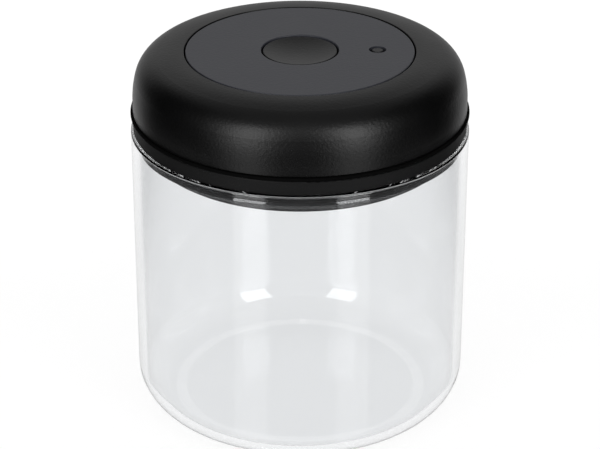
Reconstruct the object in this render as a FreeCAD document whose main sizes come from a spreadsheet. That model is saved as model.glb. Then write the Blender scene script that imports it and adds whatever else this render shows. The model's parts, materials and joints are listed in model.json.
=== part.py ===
import FreeCAD, Part
import math
import os
import Sketcher
from FreeCAD import Placement, Rotation, Vector

# Vacuum seal canister: a glass jar with a pump lid that is worked by twisting its cap.
# Millimetres, +Z up, origin at the middle of the jar's underside, indicator on the +X side.

# Driving dimensions
SIZES = {
    # Jar
    "jar_height": 95.4,
    "jar_radius": 53.7,
    "jar_wall": 2.6,
    "jar_floor": 2.6,
    "jar_corner": 12.0,
    "rim_round": 0.7,
    "rest_width": 3.7,
    "punt_depth": 0.6,
    # Lid base with its collar and plug
    "plug_clear": 7.2,
    "plug_wall": 2.2,
    "plug_depth": 8.4,
    "foot_reach": 1.5,
    "foot_height": 1.2,
    "floor_thickness": 2.6,
    "cover_thickness": 1.4,
    "collar_inset": 0.8,
    "collar_height": 4.73,
    "collar_lift": 0.17,
    "collar_wall": 2.0,
    "collar_core": 2.6,
    "collar_round": 0.5,
    "track_width": 4.6,
    # Jar gasket
    "flange_inset": 1.6,
    "flange_thickness": 0.8,
    "flange_fit": 0.1,
    "gasket_wall": 3.0,
    "lip_gap": 0.25,
    "lip_root": 1.2,
    "lip_tip": 1.1,
    "lip_slant": 0.65,
    "lip_rise": 1.2,
    "lip_pitch": 1.55,
    "lip_start": 2.0,
    # Twist cap
    "cap_wall": 2.2,
    "skirt_height": 3.7,
    "crown_sweep": 15.0,
    "side_sweep": 15.0,
    "shoulder_radius": 9.6,
    "edge_round": 0.3,
    # Rubber ring under the cap
    "ring_lift": 0.2,
    "ring_height": 1.1,
    "ring_reach": 0.75,
    "ring_round": 0.4,
    # Top panel
    "panel_overhang": 2.9,
    "panel_gap": 0.45,
    "panel_thickness": 2.0,
    "sleeve_wall": 1.2,
    "sleeve_depth": 5.8,
    "post_radius": 3.0,
    "foot_post_height": 6.0,
    "core_inset": 3.4,
    # Button and release
    "button_radius": 11.65,
    "button_gap": 0.55,
    "button_sink": 0.25,
    "button_dish": 1.2,
    "button_web": 1.7,
    "button_skirt": 1.2,
    "skirt_depth": 6.7,
    "button_travel": 2.5,
    "boss_wall": 1.7,
    "boss_margin": 2.7,
    "stem_radius": 2.6,
    "stem_clear": 0.3,
    "spigot_radius": 1.6,
    "spigot_length": 4.2,
    "seat_clear": 1.0,
    "seat_recess": 0.6,
    "seal_land": 2.3,
    "poppet_thickness": 1.0,
    "poppet_seal_thickness": 0.8,
    "opening_margin": 0.6,
    # Button spring
    "button_spring_clear": 0.4,
    "button_wire_radius": 0.4,
    "button_spring_turns": 5.0,
    # Vacuum indicator
    "indicator_bore": 2.75,
    "indicator_gap": 1.0,
    "indicator_sink": 0.15,
    "indicator_travel": 1.8,
    "air_radius": 1.1,
    "air_tube_wall": 0.9,
    "air_tube_gap": 0.3,
    "bellows_clear": 0.5,
    "housing_wall": 1.0,
    "seat_thickness": 1.2,
    "bellows_radius": 4.1,
    "bellows_fold": 0.9,
    "bellows_wall": 0.5,
    "bellows_height": 5.2,
    "pin_foot_inset": 0.2,
    "pin_foot_thickness": 0.8,
    "pin_shaft_radius": 1.2,
    "pin_head_margin": 1.0,
    "housing_headroom": 0.9,
    "indicator_spring_clear": 0.25,
    "indicator_wire_radius": 0.25,
    "indicator_spring_turns": 4.0,
    # Pump
    "bore_clear": 1.5,
    "cylinder_wall": 2.0,
    "cylinder_seal_radius": 0.5,
    "cylinder_margin": 0.2,
    "ear_offset": 2.4,
    "ear_radius": 2.7,
    "ear_height": 7.0,
    "tube_wall": 2.1,
    "tube_margin": 2.4,
    "stroke": 7.0,
    "twist_angle": 90.0,
    "dead_height": 1.4,
    "piston_thickness": 5.0,
    "piston_clear": 0.2,
    "seal_clear": 0.1,
    "seal_depth": 1.2,
    "seal_height": 2.0,
    # Crosshead and tower
    "hub_clear": 1.6,
    "hub_wall": 3.5,
    "arm_width": 6.0,
    "arm_clear": 0.3,
    "arm_lift": 0.6,
    "arm_headroom": 3.0,
    "pin_radius": 1.2,
    "pin_cover": 0.6,
    "pin_clear": 0.25,
    "pin_hold": 3.6,
    "slot_end_ease": 0.1,
    "tower_clear": 1.1,
    "tower_wall": 2.0,
    "tip_inset": 0.4,
    # Cam sleeve and glide ring
    "run_clear": 0.3,
    "cam_wall": 2.5,
    "cam_flange_clear": 1.1,
    "cam_flange_thickness": 2.2,
    "glide_thickness": 1.0,
    "glide_inset": 0.4,
    "glide_play": 0.1,
    "end_play": 0.3,
    # Valves and filter
    "inlet_head_radius": 4.2,
    "inlet_head_thickness": 1.0,
    "exhaust_clear": 0.5,
    "exhaust_head_radius": 3.1,
    "exhaust_head_thickness": 0.9,
    "valve_stem_radius": 1.0,
    "valve_bulb_radius": 1.5,
    "valve_bulb_height": 0.7,
    "valve_recess": 0.8,
    "port_radius": 0.6,
    "port_inset": 1.2,
    "filter_radius": 5.0,
    "filter_thickness": 0.6,
    "filter_fit": 0.2,
    "filter_pocket": 0.8,
    "grille_hole": 0.6,
    "grille_pitch": 2.1,
    # Screws
    "screw_radius": 1.0,
    "screw_head_radius": 1.9,
    "screw_head_height": 1.1,
    "screw_head_fit": 0.2,
    "socket_radius": 0.8,
    "socket_depth": 0.6,
    "core_screw_length": 16.0,
    "cylinder_screw_length": 7.0,
    "cap_screw_length": 9.0,
    "cap_boss_wall": 1.2,
    "cap_boss_clear": 0.6,
    "cap_boss_sink": 0.2,
    "crosshead_screw_length": 10.0,
    "poppet_screw_length": 6.0,
    "pilot_margin": 0.5,
}

# Angles round the axis, in degrees from +X, and the counts that go with them
ARM_ANGLES = (60, 180, 300)
CORE_ANGLES = (30, 150, 270)
EAR_ANGLES = (90, 210, 330)
CAP_SCREW_ANGLES = (45, 135, 225, 315)
HUB_SCREW_ANGLES = (0, 120, 240)
EXHAUST_ANGLES = (90, 270)
INLET_ANGLE = 180
FIRST_SLOT_ANGLE = 180
PORT_COUNT = 6
BELLOWS_FOLDS = 4

# Most of the dome's width that its shoulder may take
SHOULDER_SHARE = 0.6

LEFT = 1
RIGHT = -1

doc = FreeCAD.newDocument("vacuum_canister")
sheet = doc.addObject("Spreadsheet::Sheet", "sizes")
for row, (alias, size) in enumerate(SIZES.items(), start=1):
    sheet.set(f"A{row}", alias)
    sheet.set(f"B{row}", str(size))
    sheet.setAlias(f"B{row}", alias)
doc.recompute()


# Sizes that carry their sheet formula with them
class Size:
    """A number together with the sheet formula that gives it."""

    def __init__(self, formula, value):
        self.formula = formula
        self.value = value

    def __add__(self, other):
        other = as_size(other)
        return Size(f"({self.formula} + {other.formula})", self.value + other.value)

    def __sub__(self, other):
        other = as_size(other)
        return Size(f"({self.formula} - {other.formula})", self.value - other.value)

    def __mul__(self, other):
        other = as_size(other)
        return Size(f"({self.formula} * {other.formula})", self.value * other.value)

    def __truediv__(self, other):
        other = as_size(other)
        return Size(f"({self.formula} / {other.formula})", self.value / other.value)

    def __rsub__(self, other):
        return as_size(other) - self

    def __rtruediv__(self, other):
        return as_size(other) / self

    __radd__ = __add__
    __rmul__ = __mul__


def as_size(thing):
    if isinstance(thing, Size):
        return thing
    return Size(f"({float(thing)!r})", float(thing))


def sine(angle):
    return Size(f"sin({angle.formula})", math.sin(math.radians(angle.value)))


def cosine(angle):
    return Size(f"cos({angle.formula})", math.cos(math.radians(angle.value)))


def lesser(one, other):
    return Size(f"min({one.formula}; {other.formula})", min(one.value, other.value))


class Names:
    """The sheet's sizes by name."""


s = Names()
for alias in SIZES:
    setattr(s, alias, Size(f"sizes.{alias}", float(getattr(sheet, alias))))

# Radii that follow the jar, from the glass inward to the lid's plug and outward to the cap
jar_inner = s.jar_radius - s.jar_wall
punt_radius = s.jar_radius - s.jar_corner - s.rest_width
plug_radius = jar_inner - s.plug_clear
plug_inner = plug_radius - s.plug_wall
foot_radius = plug_radius + s.foot_reach
flange_radius = s.jar_radius - s.flange_inset
collar_radius = s.jar_radius - s.collar_inset
cap_side = collar_radius
cap_inside = cap_side - s.cap_wall
ring_radius = cap_side + s.ring_reach
cam_flange_radius = cap_inside - s.cam_flange_clear

# Radii that follow the button, from its sleeve outward through the pump to the panel
sleeve_bore = s.button_radius + s.button_gap
sleeve_radius = sleeve_bore + s.sleeve_wall
tube_bore = s.stem_radius + s.stem_clear
tube_radius = tube_bore + s.tube_wall
hub_inner = sleeve_radius + s.hub_clear
hub_outer = hub_inner + s.hub_wall
hub_middle = (hub_inner + hub_outer) / 2
bore_radius = hub_outer + s.bore_clear
cylinder_radius = bore_radius + s.cylinder_wall
air_tube_radius = s.air_radius + s.air_tube_wall
indicator_reach = cylinder_radius + s.air_tube_gap + air_tube_radius
housing_bore = s.bellows_radius + s.bellows_clear
housing_radius = housing_bore + s.housing_wall
tower_inner = indicator_reach + housing_radius + s.tower_clear
tower_radius = tower_inner + s.tower_wall
panel_radius = tower_radius + s.panel_overhang
cap_bore = panel_radius + s.panel_gap
cam_inner = tower_radius + s.run_clear
cam_outer = cam_inner + s.cam_wall
cap_boss_radius = s.screw_radius + s.cap_boss_wall

# Radii of the release and of the indicator
boss_radius = s.spigot_radius + s.boss_wall
poppet_radius = tube_bore + s.seal_land
seat_radius = poppet_radius + s.seat_clear
poppet_opening = seat_radius + s.opening_margin
bellows_valley = s.bellows_radius - s.bellows_fold

# Heights of the lid on the jar
plug_bottom = s.jar_height - s.plug_depth
floor_under = plug_bottom + s.cover_thickness
floor_top = floor_under + s.floor_thickness
flange_top = s.jar_height + s.flange_thickness
collar_bottom = s.jar_height + s.collar_lift
collar_top = collar_bottom + s.collar_height
ring_low = collar_top + s.ring_lift
cap_bottom = ring_low + s.ring_height

# Heights of the pump, up to the panel that its arms stop under
piston_low = floor_top + s.dead_height
piston_high = piston_low + s.piston_thickness
cylinder_top = piston_high + s.stroke + s.cylinder_margin
tube_top = cylinder_top + s.tube_margin
arm_thickness = (s.pin_radius + s.pin_cover) * 2
arm_low = cylinder_top + s.arm_lift
arm_high = arm_low + arm_thickness
pin_level = arm_low + arm_thickness / 2
pin_inner = tower_radius - s.tip_inset - s.pin_hold
panel_under = arm_high + s.stroke + s.arm_headroom
panel_top = panel_under + s.panel_thickness
cap_top = panel_top

# Heights of the cam, the release and the indicator
glide_top = collar_top + s.glide_thickness
cam_low = glide_top + s.glide_play
cam_flange_top = cam_low + s.cam_flange_thickness
cam_high = panel_under - s.end_play
button_top = panel_top - s.button_sink
button_under = button_top - s.button_dish - s.button_web
boss_bottom = tube_top + s.button_travel + s.boss_margin
seat_level = floor_under + s.seat_recess
poppet_high = seat_level - s.poppet_seal_thickness
poppet_low = poppet_high - s.poppet_thickness
housing_low = cylinder_top + s.cylinder_margin
bellows_low = housing_low + s.seat_thickness
bellows_high = bellows_low + s.bellows_height
pin_foot_high = bellows_high + s.pin_foot_thickness
housing_step = pin_foot_high + s.housing_headroom
indicator_top = panel_top - s.indicator_sink
post_bottom = floor_top + s.foot_post_height


# Drawing helpers
def bind(thing, name, size):
    thing.setExpression(name, as_size(size).formula)


def origin_plane(body, role):
    return next(item for item in body.Origin.OriginFeatures if item.Role == role)


def polar(reach, angle):
    """A spot at a reach from the axis, as two sizes."""
    across = math.cos(math.radians(angle))
    along = math.sin(math.radians(angle))
    return (reach * round(across, 12), reach * round(along, 12))


def all_polar(reach, angles):
    return [polar(reach, angle) for angle in angles]


def hold_point(sketch, edge, end, across, up):
    """Fix one point of a sketch by two sizes; a size of nought puts it on the axis."""
    for axis, kind, size in ((-2, "DistanceX", as_size(across)), (-1, "DistanceY", as_size(up))):
        if abs(size.value) < 1e-9:
            sketch.addConstraint(Sketcher.Constraint("PointOnObject", edge, end, axis))
        else:
            index = sketch.addConstraint(Sketcher.Constraint(kind, -1, 1, edge, end, size.value))
            bind(sketch, f"Constraints[{index}]", size)


def hold_radius(sketch, edge, radius):
    index = sketch.addConstraint(Sketcher.Constraint("Radius", edge, as_size(radius).value))
    bind(sketch, f"Constraints[{index}]", radius)


def new_sketch(body, name, role, turn=0):
    """A sketch on one of the body's own origin planes, turned about the Z axis."""
    sketch = body.newObject("Sketcher::SketchObject", name)
    sketch.AttachmentSupport = [(origin_plane(body, role), "")]
    sketch.MapMode = "FlatFace"
    sketch.AttachmentOffset = Placement(Vector(), Rotation(Vector(0, 1, 0), turn))
    return sketch


def arc_between(start, stop, radius, side):
    """The short arc from start to stop that bends to the given side."""
    chord = stop - start
    rise = math.sqrt(radius ** 2 - (chord.Length / 2) ** 2)
    left = Vector(-chord.y, chord.x, 0).normalize()
    centre = (start + stop) * 0.5 + left * (side * rise)
    first, last = (start, stop) if side == LEFT else (stop, start)
    angles = [math.atan2(point.y - centre.y, point.x - centre.x) for point in (first, last)]
    return Part.ArcOfCircle(Part.Circle(centre, Vector(0, 0, 1), radius), *angles)


def close_outline(sketch, corners):
    """Join the corners by lines; a corner with a radius and a side starts an arc."""
    points = [Vector(as_size(corner[0]).value, as_size(corner[1]).value, 0) for corner in corners]
    ends = []
    for index, corner in enumerate(corners):
        start = points[index]
        stop = points[(index + 1) % len(points)]
        if len(corner) == 2:
            edge = sketch.addGeometry(Part.LineSegment(start, stop))
            ends.append((edge, 1, 2))
            continue
        radius, side = corner[2:]
        edge = sketch.addGeometry(arc_between(start, stop, radius.value, side))
        ends.append((edge, 1, 2) if side == LEFT else (edge, 2, 1))
    for (edge, first, last), following in zip(ends, ends[1:] + ends[:1]):
        sketch.addConstraint(Sketcher.Constraint("Coincident", edge, last, following[0], following[1]))
    for (edge, first, last), corner in zip(ends, corners):
        hold_point(sketch, edge, first, corner[0], corner[1])
        if len(corner) > 2:
            hold_radius(sketch, edge, corner[2])


def turned(label, corners):
    """A body of revolution about Z from its half outline."""
    body = doc.addObject("PartDesign::Body", label)
    body.Label = label
    sketch = new_sketch(body, label + "_outline", "XZ_Plane")
    close_outline(sketch, corners)
    spin = body.newObject("PartDesign::Revolution", label + "_turn")
    spin.Profile = sketch
    spin.ReferenceAxis = (sketch, ["V_Axis"])
    spin.Angle = 360
    doc.recompute()
    return body


def ring_edge(shape, radius, level):
    """The name of the round edge about Z with this radius and height."""
    for index, edge in enumerate(shape.Edges, start=1):
        if edge.Degenerated or not isinstance(edge.Curve, Part.Circle):
            continue
        centre = edge.Curve.Center
        near_axis = math.hypot(centre.x, centre.y) < 1e-5
        if near_axis and abs(centre.z - level) < 1e-4 and abs(edge.Curve.Radius - radius) < 1e-4:
            return f"Edge{index}"
    raise ValueError(f"no ring edge of radius {radius} at {level}")


def rounded(body, radius, *rings):
    """Round the ring edges given by their radius and height."""
    last = body.Tip
    names = [ring_edge(last.Shape, as_size(ring).value, as_size(level).value) for ring, level in rings]
    fillet = body.newObject("PartDesign::Fillet", body.Label + "_round")
    fillet.Base = (last, names)
    bind(fillet, "Radius", radius)
    doc.recompute()


def discs(body, name, level, spots, radius):
    """A level sketch of equal circles."""
    sketch = body.newObject("Sketcher::SketchObject", name)
    sketch.AttachmentSupport = [(origin_plane(body, "XY_Plane"), "")]
    sketch.MapMode = "FlatFace"
    bind(sketch, "AttachmentOffset.Base.z", level)
    for across, along in spots:
        centre = Vector(as_size(across).value, as_size(along).value, 0)
        edge = sketch.addGeometry(Part.Circle(centre, Vector(0, 0, 1), as_size(radius).value))
        hold_point(sketch, edge, 3, across, along)
        hold_radius(sketch, edge, radius)
    return sketch


def posts(body, name, low, high, spots, radius):
    """Round posts from one height to another."""
    pad = body.newObject("PartDesign::Pad", name)
    pad.Profile = discs(body, name + "_discs", low, spots, radius)
    bind(pad, "Length", high - low)
    doc.recompute()


def bores(body, name, low, high, spots, radius):
    """Round holes from one height down to another."""
    before = body.Shape.Volume
    pocket = body.newObject("PartDesign::Pocket", name)
    pocket.Profile = discs(body, name + "_discs", high, spots, radius)
    bind(pocket, "Length", high - low)
    doc.recompute()
    if body.Shape.Volume >= before:
        raise ValueError(f"{name} cuts nothing")


def facing_sketch(body, name, angle, start=0):
    """A sketch that faces outward at an angle, at a distance from the axis."""
    sketch = new_sketch(body, name, "YZ_Plane", angle)
    along, outward = polar(as_size(start), 90 - angle)
    bind(sketch, "AttachmentOffset.Base.x", along)
    bind(sketch, "AttachmentOffset.Base.z", outward)
    return sketch


def window(sketch, width, low, high):
    half = width / 2
    close_outline(sketch, [(0 - half, low), (half, low), (half, high), (0 - half, high)])


def placed(thing, across, along, up=0):
    bind(thing, "Placement.Base.x", across)
    bind(thing, "Placement.Base.y", along)
    bind(thing, "Placement.Base.z", up)


def group(label, members):
    """Equal pieces that share one name."""
    compound = doc.addObject("Part::Compound", label)
    compound.Label = label
    compound.Links = members
    doc.recompute()
    return compound


def screw(name, spot, level, length):
    """One screw that points up, with its head below the given height and a socket in the head."""
    head_low = 0 - s.screw_head_height
    body = turned(name, [
        (0, head_low), (s.screw_head_radius, head_low), (s.screw_head_radius, 0),
        (s.screw_radius, 0), (s.screw_radius, length), (0, length)])
    bores(body, name + "_socket", head_low, head_low + s.socket_depth, [(0, 0)], s.socket_radius)
    placed(body, *spot, level)
    return body


def screws(label, level, spots, length):
    members = [screw(f"{label}_{index}", spot, level, length) for index, spot in enumerate(spots, start=1)]
    return group(label, members)


def screw_seats(body, name, low, spots):
    """Countersunk rooms for screw heads in an underside."""
    bores(body, name, low, low + s.screw_head_height, spots, s.screw_head_radius + s.screw_head_fit)


def umbrella_valve(name, spot, level, wall, head_radius, head_thickness):
    """A soft valve: a domed head on a wall and a stem through it that ends in a bulb."""
    rim = head_thickness / 2
    dome = (head_radius * head_radius + rim * rim) / (2 * rim)
    bulb_low = 0 - wall - s.valve_bulb_height
    body = turned(name, [
        (0, bulb_low), (s.valve_bulb_radius, bulb_low), (s.valve_bulb_radius, 0 - wall),
        (s.valve_stem_radius, 0 - wall), (s.valve_stem_radius, 0), (head_radius, 0),
        (head_radius, rim, dome, LEFT), (0, head_thickness)])
    placed(body, *spot, level)
    return body


def valve_seat(body, name, spot, low, high, head_radius):
    """The stem hole, the ring of air ports and the room for the bulb of one soft valve."""
    port_reach = head_radius - s.port_inset
    ports = [(spot[0] + across, spot[1] + along) for across, along in
             all_polar(port_reach, [index * 360 / PORT_COUNT for index in range(PORT_COUNT)])]
    bores(body, name + "_ports", low, high, ports, s.port_radius)
    bores(body, name + "_stem", low, high, [spot], s.valve_stem_radius)
    bores(body, name + "_room", low, low + s.valve_recess, [spot], head_radius + s.port_inset)


def coil(label, spot, radius, wire_radius, turns, low, high):
    """A round wire wound at an even pitch, as one tube swept along paired arcs."""
    steps = int(round(4 * turns.value))
    pitch = (high.value - low.value - 2 * wire_radius.value) / turns.value
    base = Vector(spot[0].value, spot[1].value, low.value + wire_radius.value)

    def point(step):
        angle = step * math.pi / 2
        return base + Vector(radius.value * math.cos(angle), radius.value * math.sin(angle), step * pitch / 4)

    def direction(step):
        angle = step * math.pi / 2
        run = radius.value * math.pi / 2
        return Vector(-run * math.sin(angle), run * math.cos(angle), pitch / 4).normalize()

    edges = []
    for step in range(steps):
        edges += paired_arcs(point(step), direction(step), point(step + 1), direction(step + 1))
    section = Part.Wire(Part.makeCircle(wire_radius.value, point(0), direction(0)))
    spring = doc.addObject("Part::Feature", label)
    spring.Label = label
    spring.Shape = Part.Wire(edges).makePipeShell([section], True, False)
    print(f"{label}: least gap between turns {pitch - 2 * wire_radius.value:.2f} mm")
    return spring


def paired_arcs(start, start_way, stop, stop_way):
    """Two arcs that leave start and reach stop along the given directions."""
    gap = stop - start
    both = start_way + stop_way
    square = 2 * start_way.dot(stop_way) - 2
    middle = gap.dot(both)
    reach = (middle - math.sqrt(middle ** 2 - square * gap.dot(gap))) / square
    first = start + start_way * reach
    second = stop - stop_way * reach
    joint = (first + second) * 0.5
    return [soft_corner(start, first, joint), soft_corner(joint, second, stop)]


def soft_corner(start, corner, stop):
    """The arc that touches both legs of a corner with equal legs."""
    weight = (stop - start).Length / 2 / (corner - start).Length
    middle = (start + stop + corner * (2 * weight)) * (1 / (2 + 2 * weight))
    return Part.Arc(start, middle, stop).toShape()


# Glass jar
def build_glass_jar():
    punt_curve = (punt_radius * punt_radius + s.punt_depth * s.punt_depth) / (2 * s.punt_depth)
    jar = turned("glass_jar", [
        (0, s.punt_depth, punt_curve, RIGHT), (punt_radius, 0),
        (s.jar_radius, 0), (s.jar_radius, s.jar_height), (jar_inner, s.jar_height),
        (jar_inner, s.jar_floor), (0, s.jar_floor)])
    rounded(jar, s.jar_corner, (s.jar_radius, 0))
    rounded(jar, s.jar_corner - s.jar_wall, (jar_inner, s.jar_floor))
    rounded(jar, s.rim_round, (s.jar_radius, s.jar_height), (jar_inner, s.jar_height))
    return jar


# Lid base with collar, plug, stem tube and air tube
inlet_spot = polar((tube_radius + bore_radius) / 2, INLET_ANGLE)
indicator_spot = polar(indicator_reach, 0)
core_spots = all_polar(tower_inner - s.core_inset, CORE_ANGLES)
ear_spots = all_polar(cylinder_radius + s.ear_offset, EAR_ANGLES)
cap_screw_spots = all_polar(cam_outer + s.cap_boss_clear + cap_boss_radius, CAP_SCREW_ANGLES)
hub_screw_spots = all_polar(hub_middle, HUB_SCREW_ANGLES)
exhaust_spots = all_polar(hub_inner - s.exhaust_clear - s.exhaust_head_radius, EXHAUST_ANGLES)


def build_lid_base():
    flange_wall = flange_radius + s.flange_fit
    groove_outer = collar_radius - s.collar_wall
    groove_inner = plug_inner + s.track_width
    groove_floor = collar_top - s.collar_core
    foot_top = plug_bottom + s.foot_height
    base = turned("lid_base", [
        (tube_bore, seat_level), (seat_radius, seat_level), (seat_radius, floor_under),
        (plug_inner, floor_under), (plug_inner, plug_bottom), (foot_radius, plug_bottom),
        (foot_radius, foot_top), (plug_radius, foot_top), (plug_radius, flange_top),
        (flange_wall, flange_top), (flange_wall, collar_bottom), (collar_radius, collar_bottom),
        (collar_radius, collar_top), (groove_outer, collar_top), (groove_outer, groove_floor),
        (groove_inner, groove_floor), (groove_inner, collar_top), (plug_inner, collar_top),
        (plug_inner, floor_top), (tube_radius, floor_top), (tube_radius, tube_top), (tube_bore, tube_top)])
    rounded(base, s.collar_round, (collar_radius, collar_bottom), (collar_radius, collar_top),
            (foot_radius, plug_bottom))
    posts(base, "air_tube", floor_top, housing_low, [indicator_spot], air_tube_radius)
    bores(base, "air_way", floor_under, housing_low, [indicator_spot], s.air_radius)
    valve_seat(base, "inlet", inlet_spot, floor_under, floor_top, s.inlet_head_radius)
    bores(base, "base_screw_holes", floor_under, floor_top, core_spots + ear_spots, s.screw_radius)
    screw_seats(base, "base_screw_seats", floor_under, core_spots + ear_spots)
    return base


# Silicone gasket with two lips, the lower one with a sloping face, and a flange that lies on the glass rim
def build_jar_gasket():
    back = plug_radius + s.gasket_wall
    lip_radius = jar_inner - s.lip_gap
    low = plug_bottom + s.foot_height
    corners = [(plug_radius, low), (back, low)]
    for lip in range(2):
        root = low + s.lip_start + s.lip_pitch * lip
        tip = root + s.lip_rise
        upper_edge = (lip_radius - s.lip_slant * (1 - lip), tip + s.lip_tip)
        corners += [(back, root), (lip_radius, tip), upper_edge, (back, root + s.lip_root)]
    corners += [
        (back, s.jar_height), (flange_radius, s.jar_height), (flange_radius, flange_top),
        (plug_radius, flange_top)]
    return turned("jar_gasket", corners)


# Perforated cover under the lid and the filter that lies in it
def build_base_cover():
    cover = turned("base_cover", [
        (poppet_opening, plug_bottom), (plug_inner, plug_bottom),
        (plug_inner, floor_under), (poppet_opening, floor_under)])
    rounded(cover, s.edge_round, (poppet_opening, plug_bottom), (plug_inner, plug_bottom))
    bores(cover, "filter_room", floor_under - s.filter_pocket, floor_under, [inlet_spot],
          s.filter_radius + s.filter_fit)
    grille = [(0, 0)]
    for ring in (1, 2):
        grille += all_polar(s.grille_pitch * ring, [index * 60 / ring for index in range(6 * ring)])
    holes = [(inlet_spot[0] + across, inlet_spot[1] + along) for across, along in grille]
    bores(cover, "grille", plug_bottom, floor_under, holes, s.grille_hole)
    bores(cover, "indicator_way", plug_bottom, floor_under, [indicator_spot], s.air_radius)
    return cover


def build_filter_disc():
    low = floor_under - s.filter_pocket
    filter_disc = turned("filter_disc", [
        (0, low), (s.filter_radius, low), (s.filter_radius, low + s.filter_thickness), (0, low + s.filter_thickness)])
    placed(filter_disc, *inlet_spot)
    return filter_disc


def build_inlet_valve():
    wall = s.floor_thickness - s.valve_recess
    return umbrella_valve("inlet_valve", inlet_spot, floor_top, wall, s.inlet_head_radius, s.inlet_head_thickness)


# Pump cylinder, its seal and its screws
def build_pump_cylinder():
    middle = bore_radius + s.cylinder_wall / 2
    groove_top = floor_top + s.cylinder_seal_radius * 2
    cylinder = turned("pump_cylinder", [
        (bore_radius, floor_top), (middle - s.cylinder_seal_radius, floor_top),
        (middle - s.cylinder_seal_radius, groove_top), (middle + s.cylinder_seal_radius, groove_top),
        (middle + s.cylinder_seal_radius, floor_top), (cylinder_radius, floor_top),
        (cylinder_radius, cylinder_top), (bore_radius, cylinder_top)])
    posts(cylinder, "ears", floor_top, floor_top + s.ear_height, ear_spots, s.ear_radius)
    screw_end = floor_under + s.screw_head_height + s.cylinder_screw_length
    bores(cylinder, "ear_holes", floor_top, screw_end + s.pilot_margin, ear_spots, s.screw_radius)
    return cylinder


def build_cylinder_seal():
    seal = doc.addObject("Part::Torus", "cylinder_seal")
    seal.Label = "cylinder_seal"
    bind(seal, "Radius1", bore_radius + s.cylinder_wall / 2)
    bind(seal, "Radius2", s.cylinder_seal_radius)
    bind(seal, "Placement.Base.z", floor_top + s.cylinder_seal_radius)
    doc.recompute()
    return seal


def build_cylinder_screws():
    return screws("cylinder_screws", floor_under + s.screw_head_height, ear_spots, s.cylinder_screw_length)


# Tower that carries the panel and guides the crosshead in three upright slots
def build_core_tower():
    tower = turned("core_tower", [
        (tower_inner, floor_top), (tower_radius, floor_top),
        (tower_radius, panel_under), (tower_inner, panel_under)])
    posts(tower, "tower_feet", floor_top, post_bottom, core_spots, s.post_radius + s.tower_wall / 2)
    bores(tower, "tower_holes", floor_top, post_bottom, core_spots, s.screw_radius)
    for angle in ARM_ANGLES:
        sketch = facing_sketch(tower, f"tower_slot_{angle}", angle)
        window(sketch, s.arm_width + s.arm_clear * 2, arm_low - s.arm_clear, panel_under + s.arm_clear)
        slot = tower.newObject("PartDesign::Pocket", f"tower_cut_{angle}")
        slot.Profile = sketch
        slot.Reversed = True
        bind(slot, "Length", tower_radius + s.run_clear)
        doc.recompute()
    return tower


def build_core_screws():
    return screws("core_screws", floor_under + s.screw_head_height, core_spots, s.core_screw_length)


# Top panel with the button sleeve, three posts and the indicator housing
def build_top_panel():
    sleeve_low = panel_under - s.sleeve_depth
    panel = turned("top_panel", [
        (sleeve_bore, sleeve_low), (sleeve_radius, sleeve_low), (sleeve_radius, panel_under),
        (panel_radius, panel_under), (panel_radius, panel_top), (sleeve_bore, panel_top)])
    rounded(panel, s.edge_round, (panel_radius, panel_top), (sleeve_bore, panel_top))
    posts(panel, "panel_posts", post_bottom, panel_under, core_spots, s.post_radius)
    screw_end = floor_under + s.screw_head_height + s.core_screw_length
    bores(panel, "panel_pilots", post_bottom, screw_end + s.pilot_margin, core_spots, s.screw_radius)
    posts(panel, "indicator_housing", housing_low, panel_under, [indicator_spot], housing_radius)
    bores(panel, "indicator_bore", housing_low, panel_top, [indicator_spot], s.indicator_bore)
    bores(panel, "bellows_room", housing_low, housing_step, [indicator_spot], housing_bore)
    return panel


# Twist cap: a domed shell of three arcs with a straight skirt and four screw bosses
def dome(start, stop, shoulder):
    """The corners of a crown arc, a shoulder arc and a side arc that run into each other without a kink."""
    run = stop[0] - start[0]
    fall = start[1] - stop[1]
    crown = s.crown_sweep
    side = s.side_sweep
    run_left = run - shoulder * (cosine(side) - sine(crown))
    fall_left = fall - shoulder * (cosine(crown) - sine(side))
    spread = sine(crown) * sine(side) - (1 - cosine(side)) * (1 - cosine(crown))
    crown_radius = (run_left * sine(side) - (1 - cosine(side)) * fall_left) / spread
    side_radius = (sine(crown) * fall_left - (1 - cosine(crown)) * run_left) / spread
    crown_end = (start[0] + crown_radius * sine(crown), start[1] - crown_radius * (1 - cosine(crown)))
    side_end = (stop[0] - side_radius * (1 - cosine(side)), stop[1] + side_radius * sine(side))
    return (*start, crown_radius), (*crown_end, shoulder), (*side_end, side_radius), stop


def build_twist_cap():
    side_low = cap_bottom + s.skirt_height
    shoulder = lesser(s.shoulder_radius, (cap_side - cap_bore) * SHOULDER_SHARE)
    outer = dome((cap_bore, cap_top), (cap_side, side_low), shoulder)
    inner = dome((cap_bore, cap_top - s.cap_wall), (cap_inside, side_low), shoulder - s.cap_wall)
    corners = [(*corner, RIGHT) for corner in outer[:3]] + [outer[3]]
    corners += [(cap_side, cap_bottom), (cap_inside, cap_bottom)]
    back = [inner[3], inner[2], inner[1], inner[0]]
    for index in range(3):
        corners.append((*back[index][:2], back[index + 1][2], LEFT))
    corners.append(inner[0][:2])
    cap = turned("twist_cap", corners)
    rounded(cap, s.edge_round, (cap_bore, cap_top), (cap_side, cap_bottom))
    boss_top = cap_top - s.cap_wall + s.cap_boss_sink
    posts(cap, "cap_bosses", cam_flange_top, boss_top, cap_screw_spots, cap_boss_radius)
    screw_end = cam_low + s.screw_head_height + s.cap_screw_length
    bores(cap, "cap_pilots", cam_flange_top, screw_end + s.pilot_margin, cap_screw_spots, s.screw_radius)
    return cap


# Rubber ring that closes the line between the cap and the collar
def build_cap_ring():
    ring = turned("cap_ring", [
        (cap_inside, ring_low), (ring_radius, ring_low), (ring_radius, cap_bottom), (cap_inside, cap_bottom)])
    rounded(ring, s.ring_round, (ring_radius, ring_low), (ring_radius, cap_bottom))
    return ring


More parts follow.
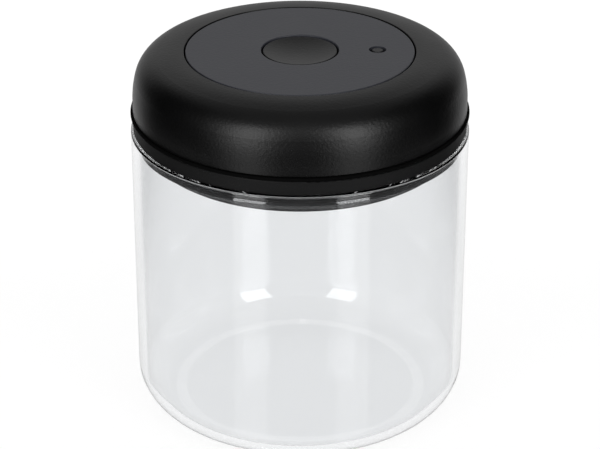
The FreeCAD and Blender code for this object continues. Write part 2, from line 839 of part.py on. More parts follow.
# Cam sleeve: a tube with three rising slots and a flange that is screwed to the cap
def build_cam_sleeve():
    sleeve = turned("cam_sleeve", [
        (cam_inner, cam_low), (cam_flange_radius, cam_low), (cam_flange_radius, cam_flange_top),
        (cam_outer, cam_flange_top), (cam_outer, cam_high), (cam_inner, cam_high)])
    bores(sleeve, "flange_holes", cam_low, cam_flange_top, cap_screw_spots, s.screw_radius)
    screw_seats(sleeve, "flange_seats", cam_low, cap_screw_spots)
    half = s.pin_radius + s.pin_clear
    profile = new_sketch(sleeve, "slot_profile", "XZ_Plane", FIRST_SLOT_ANGLE)
    inside = cam_inner - s.cam_wall
    outside = cam_outer + s.cam_wall
    close_outline(profile, [
        (inside, pin_level - half), (outside, pin_level - half),
        (outside, pin_level + half), (inside, pin_level + half)])
    rise = sleeve.newObject("PartDesign::SubtractiveHelix", "slot_rise")
    rise.Profile = profile
    rise.ReferenceAxis = (profile, ["V_Axis"])
    rise.Mode = 0
    rise.LeftHanded = True
    bind(rise, "Pitch", s.stroke * 360 / s.twist_angle)
    bind(rise, "Height", s.stroke)
    doc.recompute()
    ends = [slot_end(sleeve, "slot_start", FIRST_SLOT_ANGLE, pin_level, half + s.slot_end_ease),
            slot_end(sleeve, "slot_finish", FIRST_SLOT_ANGLE - s.twist_angle, pin_level + s.stroke,
                     half + s.slot_end_ease)]
    slots = sleeve.newObject("PartDesign::PolarPattern", "slots")
    slots.Originals = [rise] + ends
    slots.Axis = (origin_plane(sleeve, "Z_Axis"), [""])
    slots.Angle = 360
    slots.Occurrences = len(ARM_ANGLES)
    sleeve.Tip = slots
    doc.recompute()
    return sleeve


def slot_end(sleeve, name, angle, level, radius):
    """The round end of one slot."""
    angle = as_size(angle)
    sketch = new_sketch(sleeve, name + "_ring", "YZ_Plane", angle.value)
    bind(sketch, "AttachmentOffset.Rotation.Angle", angle)
    edge = sketch.addGeometry(Part.Circle(Vector(0, level.value, 0), Vector(0, 0, 1), radius.value))
    hold_point(sketch, edge, 3, 0, level)
    hold_radius(sketch, edge, radius)
    pocket = sleeve.newObject("PartDesign::Pocket", name)
    pocket.Profile = sketch
    pocket.Reversed = True
    bind(pocket, "Length", cam_outer + s.cam_wall)
    doc.recompute()
    return pocket


def build_cap_screws():
    return screws("cap_screws", cam_low + s.screw_head_height, cap_screw_spots, s.cap_screw_length)


def build_glide_ring():
    inner = plug_inner + s.glide_inset
    outer = plug_inner + s.track_width - s.glide_inset
    return turned("glide_ring", [(inner, collar_top), (outer, collar_top), (outer, glide_top), (inner, glide_top)])


# Piston with its two seals and its exhaust valves
groove_low = piston_low + (s.piston_thickness - s.seal_height) / 2
groove_high = groove_low + s.seal_height
piston_radius = bore_radius - s.piston_clear
piston_bore = tube_radius + s.piston_clear


def build_piston():
    outer_groove = piston_radius - s.seal_depth
    inner_groove = piston_bore + s.seal_depth
    piston = turned("piston", [
        (piston_bore, piston_low), (piston_radius, piston_low), (piston_radius, groove_low),
        (outer_groove, groove_low), (outer_groove, groove_high), (piston_radius, groove_high),
        (piston_radius, piston_high), (piston_bore, piston_high), (piston_bore, groove_high),
        (inner_groove, groove_high), (inner_groove, groove_low), (piston_bore, groove_low)])
    for index, spot in enumerate(exhaust_spots, start=1):
        valve_seat(piston, f"exhaust_{index}", spot, piston_low, piston_high, s.exhaust_head_radius)
    bores(piston, "piston_holes", piston_low, piston_high, hub_screw_spots, s.screw_radius)
    screw_seats(piston, "piston_seats", piston_low, hub_screw_spots)
    return piston


def build_piston_seal():
    inner = piston_radius - s.seal_depth
    outer = bore_radius - s.seal_clear
    return turned("piston_seal", [
        (inner, groove_low), (outer, groove_low), (outer, groove_high), (inner, groove_high)])


def build_rod_seal():
    inner = tube_radius + s.seal_clear
    outer = piston_bore + s.seal_depth
    return turned("rod_seal", [
        (inner, groove_low), (outer, groove_low), (outer, groove_high), (inner, groove_high)])


def build_exhaust_valves():
    wall = s.piston_thickness - s.valve_recess
    valves = [umbrella_valve(f"exhaust_valve_{index}", spot, piston_high, wall, s.exhaust_head_radius,
                             s.exhaust_head_thickness)
              for index, spot in enumerate(exhaust_spots, start=1)]
    return group("exhaust_valves", valves)


# Crosshead: a hub on the piston, three arms and a follower pin in each arm
def build_crosshead():
    crosshead = turned("crosshead", [
        (hub_inner, piston_high), (hub_outer, piston_high), (hub_outer, arm_high), (hub_inner, arm_high)])
    for angle in ARM_ANGLES:
        sketch = facing_sketch(crosshead, f"arm_section_{angle}", angle, hub_middle)
        window(sketch, s.arm_width, arm_low, arm_high)
        arm = crosshead.newObject("PartDesign::Pad", f"arm_{angle}")
        arm.Profile = sketch
        bind(arm, "Length", tower_radius - s.tip_inset - hub_middle)
        doc.recompute()
        hole_sketch = facing_sketch(crosshead, f"pin_ring_{angle}", angle, pin_inner)
        edge = hole_sketch.addGeometry(Part.Circle(Vector(0, pin_level.value, 0), Vector(0, 0, 1), s.pin_radius.value))
        hold_point(hole_sketch, edge, 3, 0, pin_level)
        hold_radius(hole_sketch, edge, s.pin_radius)
        hole = crosshead.newObject("PartDesign::Pocket", f"pin_hole_{angle}")
        hole.Profile = hole_sketch
        hole.Reversed = True
        bind(hole, "Length", s.pin_hold)
        doc.recompute()
    screw_end = piston_low + s.screw_head_height + s.crosshead_screw_length
    bores(crosshead, "hub_pilots", piston_high, screw_end + s.pilot_margin, hub_screw_spots, s.screw_radius)
    return crosshead


def build_follower_pins():
    pins = []
    for index, angle in enumerate(ARM_ANGLES, start=1):
        pin = doc.addObject("Part::Cylinder", f"follower_pin_{index}")
        bind(pin, "Radius", s.pin_radius)
        bind(pin, "Height", cam_outer - s.run_clear - pin_inner)
        pin.Placement = Placement(Vector(), Rotation(Vector(0, 0, 1), angle) * Rotation(Vector(0, 1, 0), 90))
        placed(pin, *polar(pin_inner, angle), pin_level)
        pins.append(pin)
    return group("follower_pins", pins)


def build_crosshead_screws():
    return screws("crosshead_screws", piston_low + s.screw_head_height, hub_screw_spots, s.crosshead_screw_length)


# Release: dished button, stem, poppet, seal, screw and return spring
def build_release_button():
    dish_radius = (s.button_radius * s.button_radius + s.button_dish * s.button_dish) / (2 * s.button_dish)
    skirt = s.button_radius - s.button_skirt
    skirt_low = button_top - s.skirt_depth
    button = turned("release_button", [
        (s.spigot_radius, boss_bottom), (boss_radius, boss_bottom), (boss_radius, button_under),
        (skirt, button_under), (skirt, skirt_low), (s.button_radius, skirt_low),
        (s.button_radius, button_top, dish_radius, RIGHT), (0, button_top - s.button_dish),
        (0, boss_bottom + s.spigot_length), (s.spigot_radius, boss_bottom + s.spigot_length)])
    rounded(button, s.edge_round, (s.button_radius, button_top))
    return button


def build_release_stem():
    hole_top = poppet_low + s.poppet_screw_length
    stem = turned("release_stem", [
        (s.screw_radius, poppet_high), (s.stem_radius, poppet_high), (s.stem_radius, boss_bottom),
        (s.spigot_radius, boss_bottom), (s.spigot_radius, boss_bottom + s.spigot_length),
        (0, boss_bottom + s.spigot_length), (0, hole_top), (s.screw_radius, hole_top)])
    return stem


def build_release_poppet():
    poppet = turned("release_poppet", [
        (s.screw_radius, poppet_low), (poppet_radius, poppet_low),
        (poppet_radius, poppet_high), (s.screw_radius, poppet_high)])
    rounded(poppet, s.edge_round, (poppet_radius, poppet_low))
    return poppet


def build_poppet_seal():
    return turned("poppet_seal", [
        (s.stem_radius, poppet_high), (poppet_radius, poppet_high),
        (poppet_radius, seat_level), (s.stem_radius, seat_level)])


def build_poppet_screw():
    return screws("poppet_screw", poppet_low, [(as_size(0), as_size(0))], s.poppet_screw_length)


def build_button_spring():
    axis = (as_size(0), as_size(0))
    radius = boss_radius + s.button_spring_clear + s.button_wire_radius
    return coil("button_spring", axis, radius, s.button_wire_radius, s.button_spring_turns, tube_top, button_under)


# Vacuum indicator: seat on the air tube, bellows, spring and pin
def build_indicator_seat():
    seat = turned("indicator_seat", [
        (s.air_radius, housing_low), (housing_bore, housing_low),
        (housing_bore, bellows_low), (s.air_radius, bellows_low)])
    placed(seat, *indicator_spot)
    return seat


def build_indicator_bellows():
    fold = s.bellows_height / BELLOWS_FOLDS
    outside = []
    for index in range(BELLOWS_FOLDS):
        level = bellows_low + fold * index
        outside += [(bellows_valley, level), (s.bellows_radius, level + fold / 2)]
    outside.append((bellows_valley, bellows_high))
    ceiling = bellows_high - s.bellows_wall
    inside = [(radius - s.bellows_wall, level) for radius, level in reversed(outside[:-1])]
    bellows = turned("indicator_bellows", outside + [(0, bellows_high), (0, ceiling),
                                                    (inside[0][0] - s.bellows_fold, ceiling)] + inside)
    placed(bellows, *indicator_spot)
    return bellows


def build_indicator_spring():
    radius = bellows_valley - s.bellows_wall - s.indicator_spring_clear - s.indicator_wire_radius
    return coil("indicator_spring", indicator_spot, radius, s.indicator_wire_radius, s.indicator_spring_turns,
                bellows_low, bellows_high - s.bellows_wall)


def build_indicator_pin():
    head = s.indicator_bore - s.indicator_gap
    foot = bellows_valley - s.pin_foot_inset
    head_low = indicator_top - s.indicator_travel - s.pin_head_margin
    pin = turned("indicator_pin", [
        (0, bellows_high), (foot, bellows_high), (foot, pin_foot_high),
        (s.pin_shaft_radius, pin_foot_high), (s.pin_shaft_radius, head_low), (head, head_low),
        (head, indicator_top), (0, indicator_top)])
    rounded(pin, s.edge_round, (head, indicator_top))
    placed(pin, *indicator_spot)
    return pin


nodes = [
    build_glass_jar(),
    build_lid_base(),
    build_jar_gasket(),
    build_base_cover(),
    build_filter_disc(),
    build_inlet_valve(),
    build_pump_cylinder(),
    build_cylinder_seal(),
    build_cylinder_screws(),
    build_core_tower(),
    build_core_screws(),
    build_top_panel(),
    build_glide_ring(),
    build_twist_cap(),
    build_cap_ring(),
    build_cam_sleeve(),
    build_cap_screws(),
    build_piston(),
    build_piston_seal(),
    build_rod_seal(),
    build_exhaust_valves(),
    build_crosshead(),
    build_follower_pins(),
    build_crosshead_screws(),
    build_release_button(),
    build_release_stem(),
    build_release_poppet(),
    build_poppet_seal(),
    build_poppet_screw(),
    build_button_spring(),
    build_indicator_seat(),
    build_indicator_bellows(),
    build_indicator_spring(),
    build_indicator_pin(),
]

# Check every object, then write one file for each sub-part
doc.recompute()
for item in doc.Objects:
    if "Invalid" in item.State or "Error" in item.State:
        raise ValueError(f"{item.Label} did not recompute: {item.State}")
os.makedirs("parts", exist_ok=True)
for node in nodes:
    if node.Shape.isNull() or not node.Shape.isValid():
        raise ValueError(f"{node.Label} has no valid shape")
    node.Shape.exportStep(f"parts/{node.Label}.step")
    print(f"{node.Label}: {len(node.Shape.Solids)} solid(s), {node.Shape.Volume:.1f} mm3")
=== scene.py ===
import json
import math

import bmesh
import bpy
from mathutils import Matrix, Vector

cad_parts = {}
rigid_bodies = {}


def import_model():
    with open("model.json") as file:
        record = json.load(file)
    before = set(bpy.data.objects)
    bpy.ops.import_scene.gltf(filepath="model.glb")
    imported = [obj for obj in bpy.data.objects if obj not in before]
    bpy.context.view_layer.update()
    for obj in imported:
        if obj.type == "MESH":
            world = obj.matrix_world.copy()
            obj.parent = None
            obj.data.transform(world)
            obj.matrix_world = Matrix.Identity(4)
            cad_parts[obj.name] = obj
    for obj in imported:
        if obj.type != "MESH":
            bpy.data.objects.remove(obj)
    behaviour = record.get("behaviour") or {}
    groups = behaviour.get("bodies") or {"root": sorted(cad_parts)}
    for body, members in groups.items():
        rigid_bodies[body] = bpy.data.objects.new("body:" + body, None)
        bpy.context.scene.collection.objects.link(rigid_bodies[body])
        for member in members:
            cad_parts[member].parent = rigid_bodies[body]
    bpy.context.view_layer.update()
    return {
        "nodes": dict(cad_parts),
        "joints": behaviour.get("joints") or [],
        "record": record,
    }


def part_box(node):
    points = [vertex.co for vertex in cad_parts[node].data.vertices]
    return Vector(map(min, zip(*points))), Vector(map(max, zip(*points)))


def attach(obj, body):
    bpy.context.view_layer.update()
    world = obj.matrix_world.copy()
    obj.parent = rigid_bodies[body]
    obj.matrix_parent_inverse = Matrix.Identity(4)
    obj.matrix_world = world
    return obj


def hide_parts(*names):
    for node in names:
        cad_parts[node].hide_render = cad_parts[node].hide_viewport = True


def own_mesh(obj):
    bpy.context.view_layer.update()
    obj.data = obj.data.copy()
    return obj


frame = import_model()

# Vacuum seal canister on a white studio sweep: thin glass jar, matte black pump lid, silicone gasket.
# Metres, in the frame of the solids; sizes below in millimetres are turned to metres by MM.

MM = 0.001
nodes = frame["nodes"]
jar_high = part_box("glass_jar")[1]
base_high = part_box("lid_base")[1]
gasket_low, gasket_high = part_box("jar_gasket")

TURN_STEPS = 256
CORNER_STEPS = 12
WELD_DISTANCE = 1e-7


# Small tools
def linear_level(level):
    """One colour channel from screen level to linear light."""
    return level / 12.92 if level <= 0.04045 else ((level + 0.055) / 1.055) ** 2.4


def srgb(code):
    """A hex colour as it is written on screen, turned to linear light."""
    channels = [int(code[start:start + 2], 16) / 255 for start in (1, 3, 5)]
    return (*[linear_level(level) for level in channels], 1.0)


def add_node(tree, kind, inputs=None, links=None, **settings):
    """Add one shader node with its settings, its constant inputs and its links."""
    node = tree.nodes.new(kind)
    for name, value in settings.items():
        setattr(node, name, value)
    for name, value in (inputs or {}).items():
        node.inputs[name].default_value = value
    for name, socket in (links or {}).items():
        tree.links.new(socket, node.inputs[name])
    return node


def new_material(name):
    """An empty material with its output node."""
    material = bpy.data.materials.new(name)
    material.use_nodes = True
    tree = material.node_tree
    tree.nodes.clear()
    output = add_node(tree, "ShaderNodeOutputMaterial")
    return material, tree, output


def per_mm(size):
    """The texture scale at which one cell is this many millimetres wide."""
    return 1 / (size * MM)


def rounded_corner(before, here, after, rounding):
    """The points of an arc that rounds one corner of an outline, in metres."""
    way_in = (before - here).normalized()
    way_out = (after - here).normalized()
    half = way_in.angle(way_out) / 2
    middle = here + (way_in + way_out).normalized() * (rounding / math.sin(half))
    start = here + way_in * (rounding / math.tan(half)) - middle
    stop = here + way_out * (rounding / math.tan(half)) - middle
    sweep = -start.angle_signed(stop)
    points = []
    for step in range(CORNER_STEPS + 1):
        turn = sweep * step / CORNER_STEPS
        spoke = Vector((start.x * math.cos(turn) - start.y * math.sin(turn),
                        start.x * math.sin(turn) + start.y * math.cos(turn)))
        points.append((middle + spoke) * MM)
    return points


def eased(corners):
    """Round a closed outline's corners; each corner is radius, height and rounding, in millimetres."""
    points = []
    for index, (across, up, rounding) in enumerate(corners):
        here = Vector((across, up))
        if rounding == 0:
            points.append(here * MM)
            continue
        before = Vector(corners[index - 1][:2])
        after = Vector(corners[(index + 1) % len(corners)][:2])
        points += rounded_corner(before, here, after, rounding)
    return points


def turned_piece(name, outline, material, body, node):
    """A body of revolution about Z from a closed half outline, smooth all round, in place of a solid."""
    shell = bmesh.new()
    corners = [shell.verts.new((point.x, 0, point.y)) for point in outline]
    edges = [shell.edges.new((corners[index - 1], corners[index])) for index in range(len(corners))
             if max(corners[index - 1].co.x, corners[index].co.x) > 0]
    bmesh.ops.spin(shell, geom=corners + edges, axis=(0, 0, 1), cent=(0, 0, 0), steps=TURN_STEPS,
                   angle=math.tau, use_merge=True)
    bmesh.ops.remove_doubles(shell, verts=shell.verts, dist=WELD_DISTANCE)
    bmesh.ops.recalc_face_normals(shell, faces=shell.faces)
    for face in shell.faces:
        face.smooth = True
    mesh = bpy.data.meshes.new(name)
    shell.to_mesh(mesh)
    shell.free()
    mesh.materials.append(material)
    piece = bpy.data.objects.new(name, mesh)
    bpy.context.collection.objects.link(piece)
    piece.modifiers.new("even_shading", "WEIGHTED_NORMAL")
    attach(piece, body)
    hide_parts(node)


# Materials
def clouded(name, spot, tones, roughness, finish):
    """A moulding whose tone and roughness drift between two values, in spots this many millimetres wide."""
    material, tree, output = new_material(name)
    place = add_node(tree, "ShaderNodeTexCoord").outputs["Object"]
    cloud = add_node(tree, "ShaderNodeTexNoise", {"Scale": per_mm(spot), "Detail": 3.0}, {"Vector": place})
    drift = cloud.outputs["Fac"]
    tone = add_node(tree, "ShaderNodeMix", {"A": srgb(tones[0]), "B": srgb(tones[1])},
                    {"Factor": drift}, data_type="RGBA")
    dull = add_node(tree, "ShaderNodeMapRange", {"To Min": roughness[0], "To Max": roughness[1]},
                    {"Value": drift})
    shader = add_node(tree, "ShaderNodeBsdfPrincipled", finish,
                      {"Base Color": tone.outputs["Result"], "Roughness": dull.outputs["Result"]})
    tree.links.new(shader.outputs["BSDF"], output.inputs["Surface"])
    return material, tree, place, shader


def moulded_black(name, light, dark, rough, shine=0.5):
    """Black ABS moulded in a spark-eroded tool: deep, dull, a fine grain that sparkles in the lights."""
    # Real grain is near 0.1 mm wide; drawn coarser, so that it shows
    grain_width = 0.9
    grain_depth = 0.08
    material, tree, place, shader = clouded(
        name, spot=14, tones=(dark, light), roughness=(rough - 0.04, rough + 0.04),
        finish={"IOR": 1.5, "Specular IOR Level": shine})
    grain = add_node(tree, "ShaderNodeTexNoise", {"Scale": per_mm(grain_width), "Detail": 1.0},
                     {"Vector": place})
    bump = add_node(tree, "ShaderNodeBump", {"Strength": 0.6, "Distance": grain_depth * MM},
                    {"Height": grain.outputs["Fac"]})
    tree.links.new(bump.outputs["Normal"], shader.inputs["Normal"])
    return material


def shaded_gap_ring():
    """Near-black with almost no gloss, for the thin ring under the cap: painted shade for the shadowed gap
    between cap and collar.
    """
    return clouded("cap_ring_painted_shade", spot=3, tones=("#030303", "#070707"), roughness=(0.75, 0.9),
                   finish={"IOR": 1.5, "Specular IOR Level": 0.05})[0]


def silicone():
    """Dark moulded silicone from a polished tool: smooth, with clear glints."""
    return clouded("silicone_moulded", spot=6, tones=("#121214", "#19191B"), roughness=(0.03, 0.09),
                   finish={"IOR": 1.9})[0]


def plain_plastic(name, light, dark, rough):
    """An inner moulding with a slight cloudiness from the tool."""
    return clouded(name, spot=5, tones=(dark, light), roughness=(rough - 0.05, rough + 0.08),
                   finish={"IOR": 1.48})[0]


def clear_glass():
    """Pressed soda-lime glass: polished, a breath of cool grey, with a faint slow wave from the mould."""
    material, tree, output = new_material("soda_lime_glass")
    place = add_node(tree, "ShaderNodeTexCoord").outputs["Object"]
    wave_width = 22
    wave_depth = 0.05
    wave = add_node(tree, "ShaderNodeTexNoise", {"Scale": per_mm(wave_width), "Detail": 1.0},
                    {"Vector": place})
    bump = add_node(tree, "ShaderNodeBump", {"Strength": 0.1, "Distance": wave_depth * MM},
                    {"Height": wave.outputs["Fac"]})
    clear = {"Base Color": srgb("#F7F8F9"), "Roughness": 0.0, "IOR": 1.5, "Transmission Weight": 1.0}
    glass = add_node(tree, "ShaderNodeBsdfPrincipled", clear, {"Normal": bump.outputs["Normal"]})
    tree.links.new(glass.outputs["BSDF"], output.inputs["Surface"])
    return material


def bright_steel():
    """Drawn and turned steel: bright, with fine marks from the tool."""
    material, tree, output = new_material("steel_turned")
    place = add_node(tree, "ShaderNodeTexCoord").outputs["Object"]
    mark_width = 0.4
    marks = add_node(tree, "ShaderNodeTexNoise", {"Scale": per_mm(mark_width), "Detail": 2.0},
                     {"Vector": place})
    dull = add_node(tree, "ShaderNodeMapRange", {"To Min": 0.22, "To Max": 0.38},
                    {"Value": marks.outputs["Fac"]})
    shader = add_node(tree, "ShaderNodeBsdfPrincipled", {"Base Color": srgb("#C9C7C4"), "Metallic": 1.0},
                      {"Roughness": dull.outputs["Result"]})
    tree.links.new(shader.outputs["BSDF"], output.inputs["Surface"])
    return material


abs_black = moulded_black("black_abs_spark_eroded", "#030304", "#010101", 0.38)
# The top panel is the same black ABS, painted lighter and bluish: painted light for the light its flat top
# takes from above and the pale backdrop it mirrors.
abs_panel_painted_top_light = moulded_black("black_abs_painted_top_light", "#34353B", "#2E2F35", 0.42)
abs_collar = moulded_black("dull_black_abs", "#060607", "#030304", 0.6, 0.33)
# The cap ring's finish is painted shade: near-black and without gloss, where the gap under the cap lies in
# shadow.
cap_ring_shade = shaded_gap_ring()
silicone_dark = silicone()
glass_clear = clear_glass()
inner_black = plain_plastic("inner_black_moulded", "#2A2A2B", "#202021", 0.45)
acetal_natural = plain_plastic("acetal_natural", "#E7E4DA", "#DAD6CA", 0.35)
cylinder_grey = plain_plastic("pump_grey_moulded", "#A9ACAE", "#9A9DA0", 0.25)
marker_grey = plain_plastic("marker_grey_moulded", "#1E1E20", "#18181A", 0.42)
steel = bright_steel()

finish_of_slot = {
    "jar_glass": glass_clear,
    "shell_black": abs_black,
    "silicone_dark": silicone_dark,
    "inner_black": inner_black,
    "acetal_white": acetal_natural,
    "steel_bright": steel,
    "cylinder_grey": cylinder_grey,
    "marker_grey": marker_grey,
    "filter_mesh": steel,
}
finish_of_node = {"top_panel": abs_panel_painted_top_light, "lid_base": abs_collar, "cap_ring": cap_ring_shade}
slot_of_node = {part["node"]: part["material_slot"] for part in frame["record"]["subparts"]}
for node_name, shape in nodes.items():
    shape.data.materials.clear()
    shape.data.materials.append(finish_of_node.get(node_name, finish_of_slot[slot_of_node[node_name]]))


# Glass jar
JAR_WALL = 2.6
JAR_FLOOR = 2.6
JAR_CORNER = 12.0
RIM_ROUND = 0.7
REST_WIDTH = 3.7
PUNT_DEPTH = 0.6
PUNT_STEPS = 16


def jar_outline():
    """The jar's half section: a slightly hollow underside, a round corner, a straight wall, a soft rim."""
    outer = jar_high.x / MM
    inner = outer - JAR_WALL
    top = jar_high.z / MM
    punt = outer - JAR_CORNER - REST_WIDTH
    underside = []
    for step in range(PUNT_STEPS):
        across = punt * step / PUNT_STEPS
        underside.append(Vector((across, PUNT_DEPTH * (1 - (across / punt) ** 2))) * MM)
    return underside + eased([
        (punt, 0, 0),
        (outer, 0, JAR_CORNER),
        (outer, top, RIM_ROUND),
        (inner, top, RIM_ROUND),
        (inner, JAR_FLOOR, JAR_CORNER - JAR_WALL),
        (0, JAR_FLOOR, 0)])


turned_piece("jar", jar_outline(), glass_clear, "jar", "glass_jar")


# Jar gasket
GASKET_BORE = 43.9
GASKET_BACK = 46.9
LIP_RADIUS = 50.85
LIP_START = 2.0
LIP_PITCH = 1.55
LIP_RISE = 1.2
LIP_ROOT = 1.2
LIP_TIP = 1.1
LIP_SLANT = 0.65
LIP_UNDERCUT = 0.15
LIP_ROUND = 0.25
EDGE_ROUND = 0.25


def gasket_outline():
    """The gasket's half section: two soft lips, the lower one sloping, and a flange that lies on the rim."""
    low = gasket_low.z / MM
    top = gasket_high.z / MM
    flange = gasket_high.x / MM
    rim = jar_high.z / MM
    corners = [(GASKET_BORE, low, 0), (GASKET_BACK, low, EDGE_ROUND)]
    for lip, (undercut, slant) in enumerate([(LIP_UNDERCUT, LIP_SLANT), (0, 0)]):
        root = low + LIP_START + LIP_PITCH * lip
        tip = root + LIP_RISE
        corners += [
            (GASKET_BACK, root, 0),
            (LIP_RADIUS - undercut, tip, LIP_ROUND),
            (LIP_RADIUS - slant, tip + LIP_TIP, LIP_ROUND),
            (GASKET_BACK, root + LIP_ROOT, 0)]
    return eased(corners + [
        (GASKET_BACK, rim, 0),
        (flange, rim, EDGE_ROUND),
        (flange, top, EDGE_ROUND),
        (GASKET_BORE, top, 0)])


turned_piece("gasket", gasket_outline(), silicone_dark, "lid", "jar_gasket")


# Springs and bellows under the button and the indicator pin
def shortening_piece(joint, node):
    """A spring or bellows copied from its solid and fixed whole to the joint's parent body, where its foot
    stands.
    """
    piece = bpy.data.objects.new("soft_" + node, nodes[node].data.copy())
    bpy.context.collection.objects.link(piece)
    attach(piece, joint["parent"])
    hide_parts(node)
    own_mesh(piece)


for joint in frame["joints"]:
    for spring in joint.get("deforming_nodes", []):
        shortening_piece(joint, spring["node"])


# Stage: a glossy white table, a low white backdrop, a dim room and two tall soft boxes in front
PLAIN_LIGHT = 0.8
ROOM = 0.006

# Levels and edges of the backdrop and the ceiling, as parts of a unit direction
BACKDROP = 0.47
SWEEP_EDGE = 0.62
SWEEP_FULL = 0.86
BACKDROP_TOP = 0.74
BACKDROP_FULL = 0.42
CEILING = 0.22
CEILING_EDGE = 0.2
CEILING_FULL = 0.8
CEILING_SIDE = 0.65
CEILING_MIDDLE = 0.4

# The table, white near the object and behind it: distances in metres, then parts of a unit direction
TABLE_SIZE = 6
TABLE_NEAR = 0.08
TABLE_FAR = 0.25
TABLE_EDGE = 0.4
TABLE_FULL = 0.75
TABLE_GLOW = 1.04
SHADOW_SHARE = 0.14

# Gloss within the glass, and gloss seen through it, loses this share of the white surroundings.
# A mirror inside one wall crosses two surfaces of glass, and one behind the wall crosses four.
GLOSS_BEHIND_GLASS = 0.8
MORE_THAN_ONE_SURFACE = 1.5
MORE_THAN_THREE_SURFACES = 3.5

BOX_TURNS = {"soft_box_left": -34, "soft_box_right": 36}
BOX_RISE = 19.5
BOX_DISTANCE = 0.9
BOX_WIDTH = 0.33
BOX_HEIGHT = 0.78
BOX_RADIANCE = 3.9

CAMERA_PLACE = (0, -0.6470, 0.3868)
CAMERA_PITCH = 26.84
CAMERA_LENS = 133.7
CAMERA_SENSOR = 36

GLASS_BOUNCES = 48
GLOSS_BOUNCES = 24


def glass_surfaces(tree, path):
    """How many surfaces of glass a ray has crossed, if it was mirrored on its way; otherwise none."""
    mirrored = add_node(tree, "ShaderNodeMath", {1: 1.0}, {0: path.outputs["Glossy Depth"]},
                        operation="MINIMUM")
    surfaces = add_node(tree, "ShaderNodeMath", operation="MULTIPLY",
                        links={0: mirrored.outputs["Value"], 1: path.outputs["Transmission Depth"]})
    return surfaces.outputs["Value"]


def plainly_seen(tree, path, surfaces):
    """How white the surroundings look: full for the camera and through clear glass."""
    behind = add_node(tree, "ShaderNodeMath", {1: MORE_THAN_THREE_SURFACES}, {0: surfaces},
                      operation="GREATER_THAN")
    white = add_node(tree, "ShaderNodeMapRange", {"To Min": 1.0, "To Max": 1 - GLOSS_BEHIND_GLASS},
                     {"Value": behind.outputs["Value"]})
    through = add_node(tree, "ShaderNodeMath", operation="MULTIPLY",
                       links={0: path.outputs["Is Transmission Ray"], 1: white.outputs["Result"]})
    seen = add_node(tree, "ShaderNodeMath", operation="MAXIMUM",
                    links={0: through.outputs["Value"], 1: path.outputs["Is Camera Ray"]})
    return seen.outputs["Value"]


def white_table():
    """A pale glossy table: plain white to the camera, with the object's shadow; dark in front for gloss."""
    bpy.ops.mesh.primitive_plane_add(size=TABLE_SIZE)
    table = bpy.context.object
    table.name = "table"
    material, tree, output = new_material("studio_white_acrylic")
    place = add_node(tree, "ShaderNodeTexCoord").outputs["Object"]
    reach = add_node(tree, "ShaderNodeVectorMath", links={0: place}, operation="LENGTH")
    way = add_node(tree, "ShaderNodeVectorMath", links={0: place}, operation="NORMALIZE")
    split = add_node(tree, "ShaderNodeSeparateXYZ", links={"Vector": way.outputs["Vector"]})
    far = add_node(tree, "ShaderNodeMapRange", {"From Min": TABLE_NEAR, "From Max": TABLE_FAR},
                   {"Value": reach.outputs["Value"]}, interpolation_type="SMOOTHSTEP")
    front = add_node(tree, "ShaderNodeMapRange", {"From Min": TABLE_FULL, "From Max": TABLE_EDGE},
                     {"Value": split.outputs["Y"]}, interpolation_type="SMOOTHSTEP")
    dark = add_node(tree, "ShaderNodeMath", operation="MULTIPLY",
                    links={0: far.outputs["Result"], 1: front.outputs["Result"]})
    tone = add_node(tree, "ShaderNodeMix", {"A": srgb("#F6F6F6"), "B": srgb("#242424")},
                    {"Factor": dark.outputs["Value"]}, data_type="RGBA")
    paint = add_node(tree, "ShaderNodeBsdfPrincipled", {"Roughness": 0.1, "IOR": 2.1},
                     {"Base Color": tone.outputs["Result"]})
    path = add_node(tree, "ShaderNodeLightPath")
    surfaces = glass_surfaces(tree, path)
    clear = add_node(tree, "ShaderNodeMapRange", {"To Min": 1 - SHADOW_SHARE, "To Max": 1.0},
                     {"Value": far.outputs["Result"]})
    plain = add_node(tree, "ShaderNodeMath", operation="MULTIPLY",
                     links={0: plainly_seen(tree, path, surfaces), 1: clear.outputs["Result"]})
    # The inner face of the glass mirrors the dark table in front, as the outer face does
    mirrored = add_node(tree, "ShaderNodeMath", {1: MORE_THAN_ONE_SURFACE}, {0: surfaces},
                        operation="GREATER_THAN")
    lost = add_node(tree, "ShaderNodeMath", operation="MULTIPLY",
                    links={0: mirrored.outputs["Value"], 1: dark.outputs["Value"]})
    kept = add_node(tree, "ShaderNodeMapRange", {"To Min": 1.0, "To Max": 1 - GLOSS_BEHIND_GLASS},
                    {"Value": lost.outputs["Value"]})
    share = add_node(tree, "ShaderNodeMath", operation="MULTIPLY",
                     links={0: plain.outputs["Value"], 1: kept.outputs["Result"]})
    glow = add_node(tree, "ShaderNodeEmission", {"Color": (1, 1, 1, 1), "Strength": TABLE_GLOW})
    mix = add_node(tree, "ShaderNodeMixShader", links={
        0: share.outputs["Value"], 1: paint.outputs["BSDF"], 2: glow.outputs["Emission"]})
    tree.links.new(mix.outputs["Shader"], output.inputs["Surface"])
    table.data.materials.append(material)


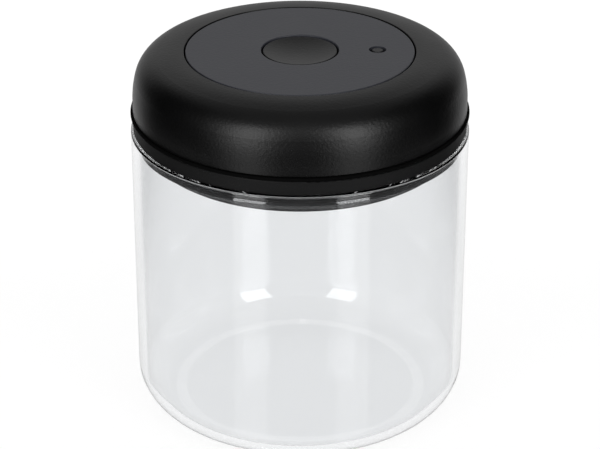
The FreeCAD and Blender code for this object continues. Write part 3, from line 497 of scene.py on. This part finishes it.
def studio_world():
    """White to the camera and through glass, even plain light on the object, and a dim room for gloss."""
    world = bpy.data.worlds.new("studio")
    bpy.context.scene.world = world
    world.use_nodes = True
    tree = world.node_tree
    tree.nodes.clear()
    toward = add_node(tree, "ShaderNodeTexCoord").outputs["Generated"]
    split = add_node(tree, "ShaderNodeSeparateXYZ", links={"Vector": toward})
    behind = add_node(tree, "ShaderNodeMapRange",
                      {"From Min": SWEEP_EDGE, "From Max": SWEEP_FULL, "To Max": BACKDROP},
                      {"Value": split.outputs["Y"]}, interpolation_type="SMOOTHSTEP")
    low = add_node(tree, "ShaderNodeMapRange", {"From Min": BACKDROP_TOP, "From Max": BACKDROP_FULL},
                   {"Value": split.outputs["Z"]}, interpolation_type="SMOOTHSTEP")
    screen = add_node(tree, "ShaderNodeMath", {2: ROOM}, operation="MULTIPLY_ADD",
                      links={0: behind.outputs["Result"], 1: low.outputs["Result"]})
    above = add_node(tree, "ShaderNodeMapRange",
                     {"From Min": CEILING_EDGE, "From Max": CEILING_FULL, "To Max": CEILING},
                     {"Value": split.outputs["Z"]}, interpolation_type="SMOOTHSTEP")
    aside = add_node(tree, "ShaderNodeMath", operation="ABSOLUTE", links={0: split.outputs["X"]})
    between = add_node(tree, "ShaderNodeMapRange", {"From Min": CEILING_SIDE, "From Max": CEILING_MIDDLE},
                       {"Value": aside.outputs["Value"]}, interpolation_type="SMOOTHSTEP")
    gloss = add_node(tree, "ShaderNodeMath", operation="MULTIPLY_ADD", links={
        0: above.outputs["Result"], 1: between.outputs["Result"], 2: screen.outputs["Value"]})
    path = add_node(tree, "ShaderNodeLightPath")
    seen = plainly_seen(tree, path, glass_surfaces(tree, path))
    even = add_node(tree, "ShaderNodeMix", {"B": PLAIN_LIGHT},
                    {"Factor": path.outputs["Is Diffuse Ray"], "A": gloss.outputs["Value"]})
    strength = add_node(tree, "ShaderNodeMix", {"B": 1.0}, {"Factor": seen, "A": even.outputs["Result"]})
    sky = add_node(tree, "ShaderNodeBackground", {"Color": (1, 1, 1, 1)},
                   {"Strength": strength.outputs["Result"]})
    output = add_node(tree, "ShaderNodeOutputWorld")
    tree.links.new(sky.outputs["Background"], output.inputs["Surface"])


def soft_boxes():
    """Two tall soft boxes left and right of the camera that face the lid."""
    aim = Vector((0, 0, base_high.z))
    rise = math.radians(BOX_RISE)
    for name, degrees in BOX_TURNS.items():
        lamp = bpy.data.lights.new(name, "AREA")
        lamp.shape = "RECTANGLE"
        lamp.size = BOX_WIDTH
        lamp.size_y = BOX_HEIGHT
        lamp.energy = BOX_RADIANCE * math.pi * BOX_WIDTH * BOX_HEIGHT
        turn = math.radians(degrees)
        way = Vector((math.sin(turn) * math.cos(rise), -math.cos(turn) * math.cos(rise), math.sin(rise)))
        stand = bpy.data.objects.new(name, lamp)
        stand.location = aim + way * BOX_DISTANCE
        stand.rotation_euler = way.to_track_quat("Z", "Y").to_euler()
        bpy.context.collection.objects.link(stand)


def photo_camera():
    """The photograph's viewing angle, found from the rings of the lid and the sides of the jar."""
    lens = bpy.data.cameras.new("photo_camera")
    lens.sensor_width = CAMERA_SENSOR
    lens.lens = CAMERA_LENS
    camera = bpy.data.objects.new("photo_camera", lens)
    camera.location = CAMERA_PLACE
    pitch = math.radians(CAMERA_PITCH)
    look = Vector((0, math.cos(pitch), -math.sin(pitch)))
    camera.rotation_euler = look.to_track_quat("-Z", "Y").to_euler()
    bpy.context.collection.objects.link(camera)
    bpy.context.scene.camera = camera


white_table()
studio_world()
soft_boxes()
photo_camera()
bpy.context.scene.view_settings.view_transform = "Standard"
# Light that runs round inside the glass keeps enough turns to come out again
bpy.context.scene.cycles.max_bounces = GLASS_BOUNCES
bpy.context.scene.cycles.glossy_bounces = GLOSS_BOUNCES
bpy.context.scene.cycles.transmission_bounces = GLASS_BOUNCES
